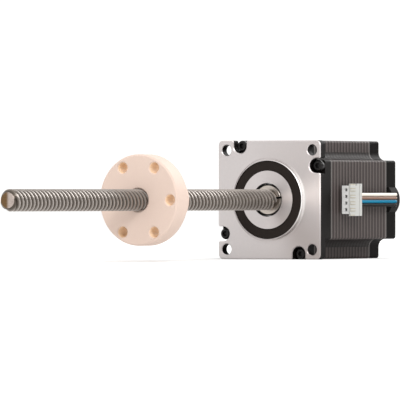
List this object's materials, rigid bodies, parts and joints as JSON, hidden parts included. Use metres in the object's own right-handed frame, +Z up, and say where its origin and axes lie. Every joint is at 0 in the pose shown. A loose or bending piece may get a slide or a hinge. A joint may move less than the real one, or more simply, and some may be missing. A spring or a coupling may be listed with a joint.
{
  "type": "stepper linear actuator",
  "caption": "Square-flanged stepper motor with a long steep-threaded lead screw that carries a round flanged travelling nut, and short leads that end in a flat plug.",
  "frame": {"origin": "centre of the motor's mounting face, on the screw's axis", "axes": "+X along the screw away from the motor, +Z up, +Y towards the side where the wires come out"},
  "size_m": [0.298, 0.0626, 0.0564],
  "materials": {
    "machined_casting": "satin, black on its sides",
    "black_casting": "satin black paint",
    "laminations": "striped edges",
    "insulator": "matt",
    "copper": "enamelled wire",
    "bearing_steel": "ground",
    "ball_steel": "polished",
    "cage_plastic": "matt",
    "black_screw": "black oxide",
    "board": "satin",
    "grommet_rubber": "matt",
    "wire_white": "satin",
    "wire_brown": "satin",
    "wire_blue": "satin",
    "wire_black": "satin",
    "plug_plastic": "satin",
    "contact_metal": "plated",
    "screw_steel": "rolled, bright",
    "shaft_steel": "turned",
    "rotor_steel": "ground",
    "magnet": "plain",
    "nut_plastic": "matt"
  },
  "bodies": {
    "motor": {"bobbin_front": "insulator", "bobbin_rear": "insulator", "cable_grommet": "grommet_rubber", "front_bearing_outer_ring": "bearing_steel", "front_bracket": "machined_casting", "plug_contacts": "contact_metal", "plug_housing": "plug_plastic", "preload_washer": "bearing_steel", "rear_bearing_outer_ring": "bearing_steel", "rear_bracket": "black_casting", "stator_stack": "laminations", "terminal_board": "board", "through_screws": "black_screw", "windings_phase_a": "copper", "windings_phase_b": "copper", "wire_black": "wire_black", "wire_blue": "wire_blue", "wire_brown": "wire_brown", "wire_white": "wire_white"},
    "rotor": {"lead_screw": "screw_steel", "rotor_shaft": "shaft_steel", "rotor_cup_1": "rotor_steel", "rotor_cup_2": "rotor_steel", "rotor_cup_3": "rotor_steel", "rotor_cup_4": "rotor_steel", "rotor_magnet_1": "magnet", "rotor_magnet_2": "magnet", "front_bearing_inner_ring": "bearing_steel", "rear_bearing_inner_ring": "bearing_steel"},
    "front_ball_set": {"front_bearing_balls": "ball_steel", "front_bearing_cage": "cage_plastic"},
    "rear_ball_set": {"rear_bearing_balls": "ball_steel", "rear_bearing_cage": "cage_plastic"},
    "nut": {"lead_nut": "nut_plastic"}
  },
  "joints": [
    {"name": "screw_spin", "type": "hinge", "parent": "motor", "child": "rotor", "pos_m": [0, 0, 0], "axis": [1, 0, 0], "range_deg": [-2940, 2520]},
    {"name": "nut_travel", "type": "slide", "parent": "motor", "child": "nut", "axis": [1, 0, 0], "range_m": [-0.0841, 0.0981]},
    {"name": "front_cage_spin", "type": "hinge", "parent": "motor", "child": "front_ball_set", "pos_m": [-0.0047, 0, 0], "axis": [1, 0, 0], "range_deg": [-1224.9, 1050]},
    {"name": "rear_cage_spin", "type": "hinge", "parent": "motor", "child": "rear_ball_set", "pos_m": [-0.0671, 0, 0], "axis": [1, 0, 0], "range_deg": [-1081.9, 927.5]}
  ],
  "couplings": [
    {"joint": "nut_travel", "follows": "screw_spin", "m_per_rad": -0.0019099},
    {"joint": "front_cage_spin", "follows": "screw_spin", "ratio": 0.41628},
    {"joint": "rear_cage_spin", "follows": "screw_spin", "ratio": 0.36767}
  ]
}
